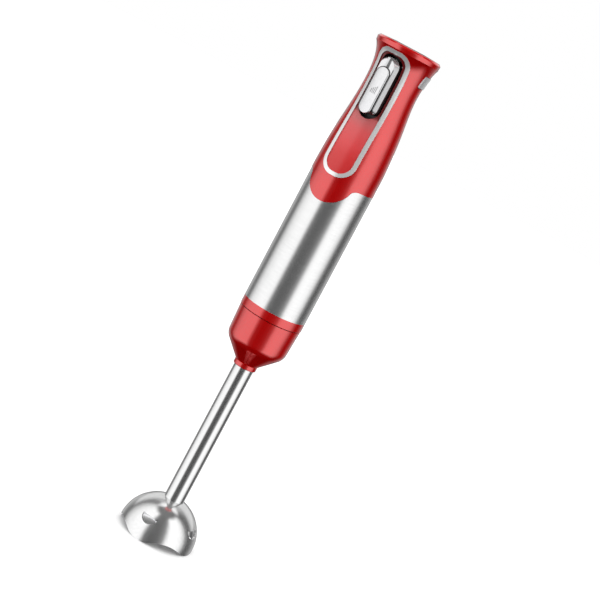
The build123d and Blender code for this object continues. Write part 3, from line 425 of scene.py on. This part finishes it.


# where the painted shade in the trigger's grooves lies, each as the two ends of its soft edge
PAD_GROOVE_DEPTH = (-0.0310, -0.0308)      # Y: the groove round the finger pad starts behind this
PAD_GROOVE_SIDE = (0.0062, 0.0065)         # X, either side: its outer edge
PAD_GROOVE_TOP = (0.4168, 0.4174)          # Z
GRIP_GROOVE_DEPTH = (-0.03212, -0.03206)   # Y: the four grip grooves start behind this
GRIP_GROOVE_SIDE = (0.0027, 0.0028)
GRIP_GROOVE_FOOT = (0.3935, 0.3936)
GRIP_GROOVE_TOP = (0.4025, 0.4026)
# painted shade: how dark the grip grooves are, and the colour painted into all the grooves
GRIP_SHADE_STRENGTH = 0.55                       # the pad's own groove is 1
GROOVE_SHADE_COLOUR = grey(0.06)


def all_of(tree, mask, *others):
    """The product of several masks."""
    for other in others:
        mask = maths(tree, "MULTIPLY", mask, other)
    return mask


def make_trigger_chrome_and_groove_shade():
    """Satin chrome, with painted shade in the groove round the finger pad and in the grip grooves."""
    tones = (0.68, 0.68, 0.69), (0.73, 0.73, 0.74)
    tree, shader = metal("chrome_trigger", tones, (0.13, 0.18), 500, metallic=0.80)
    chrome = shader.inputs["Base Color"].links[0].from_socket
    place = object_axes(tree)
    across = maths(tree, "ABSOLUTE", place["X"])
    pad_groove_shade = all_of(tree, smooth_step(tree, place["Y"], *PAD_GROOVE_DEPTH),
                        smooth_step(tree, across, *PAD_GROOVE_SIDE, 1.0, 0.0),
                        smooth_step(tree, place["Z"], *PAD_GROOVE_TOP, 1.0, 0.0))
    grip_groove_shade = all_of(tree, smooth_step(tree, place["Y"], *GRIP_GROOVE_DEPTH, 0.0, GRIP_SHADE_STRENGTH),
                          smooth_step(tree, across, *GRIP_GROOVE_SIDE, 1.0, 0.0),
                          smooth_step(tree, place["Z"], *GRIP_GROOVE_FOOT),
                          smooth_step(tree, place["Z"], *GRIP_GROOVE_TOP, 1.0, 0.0))
    # painted shade in the pad's groove and in the grip grooves, mixed into the chrome colour
    dark = maths(tree, "MAXIMUM", pad_groove_shade, grip_groove_shade)
    tree.links.new(mix_colours(tree, dark, chrome, GROOVE_SHADE_COLOUR), shader.inputs["Base Color"])


make_trigger_chrome_and_groove_shade()


STRIPE_WAVER = 0.4
STRIPE_POLISH = 800 / 3           # as metal() has it for a grain of 800
STRIPE_SHADE = 0.45               # the gaps between stripes, as a share of the darker tone


def striped_metal(slot, dark, light, period, direction, roughness, depth):
    """Metal in thin layers or strands, one to each period, with dark gaps."""
    material, tree, shader = new_material(slot)
    stripe = bands(tree, period, direction, STRIPE_WAVER)
    gap = tuple(STRIPE_SHADE * value for value in dark)
    tree.links.new(ramp(tree, stripe, [(0.15, gap), (0.5, dark), (0.8, light)]),
                   shader.inputs["Base Color"])
    tree.links.new(uneven(tree, STRIPE_POLISH, roughness), shader.inputs["Roughness"])
    tree.links.new(bump(tree, stripe, depth), shader.inputs["Normal"])
    set_values(shader, Metallic=1.0, Specular_IOR_Level=0.0)
    SLOTS[slot] = material


striped_metal("laminated_steel", (0.24, 0.25, 0.27), (0.36, 0.37, 0.39), 0.0010, "Z", (0.35, 0.50), 0.0001)
striped_metal("copper_wire", (0.50, 0.17, 0.07), (0.72, 0.30, 0.14), 0.0008, "DIAGONAL", (0.25, 0.40),
              0.0002)
striped_metal("commutator_copper", (0.62, 0.28, 0.15), (0.74, 0.38, 0.22), 0.0016, "Z", (0.22, 0.34),
              0.00004)


TRACK_DENSITY = 260.0
TRACK_EDGE = (0.04, 0.09)


def make_board():
    """Green solder mask over the shadows of copper tracks."""
    tree, shader = plastic("board_green", None, (0.22, 0.32))
    tracks = tree.nodes.new("ShaderNodeTexVoronoi")
    tracks.feature = "DISTANCE_TO_EDGE"
    tracks.inputs["Scale"].default_value = TRACK_DENSITY
    tree.links.new(object_place(tree), tracks.inputs["Vector"])
    line = smooth_step(tree, tracks.outputs["Distance"], *TRACK_EDGE)
    tree.links.new(mix_colours(tree, line, (0.05, 0.30, 0.12), (0.015, 0.15, 0.06)),
                   shader.inputs["Base Color"])


make_board()

# every CAD piece takes the finish that the record names for it
material_of_node = {row["node"]: row["material_slot"] for row in frame["record"]["subparts"]}
for name, piece in nodes.items():
    piece.data.materials.clear()
    piece.data.materials.append(SLOTS[material_of_node[name]])
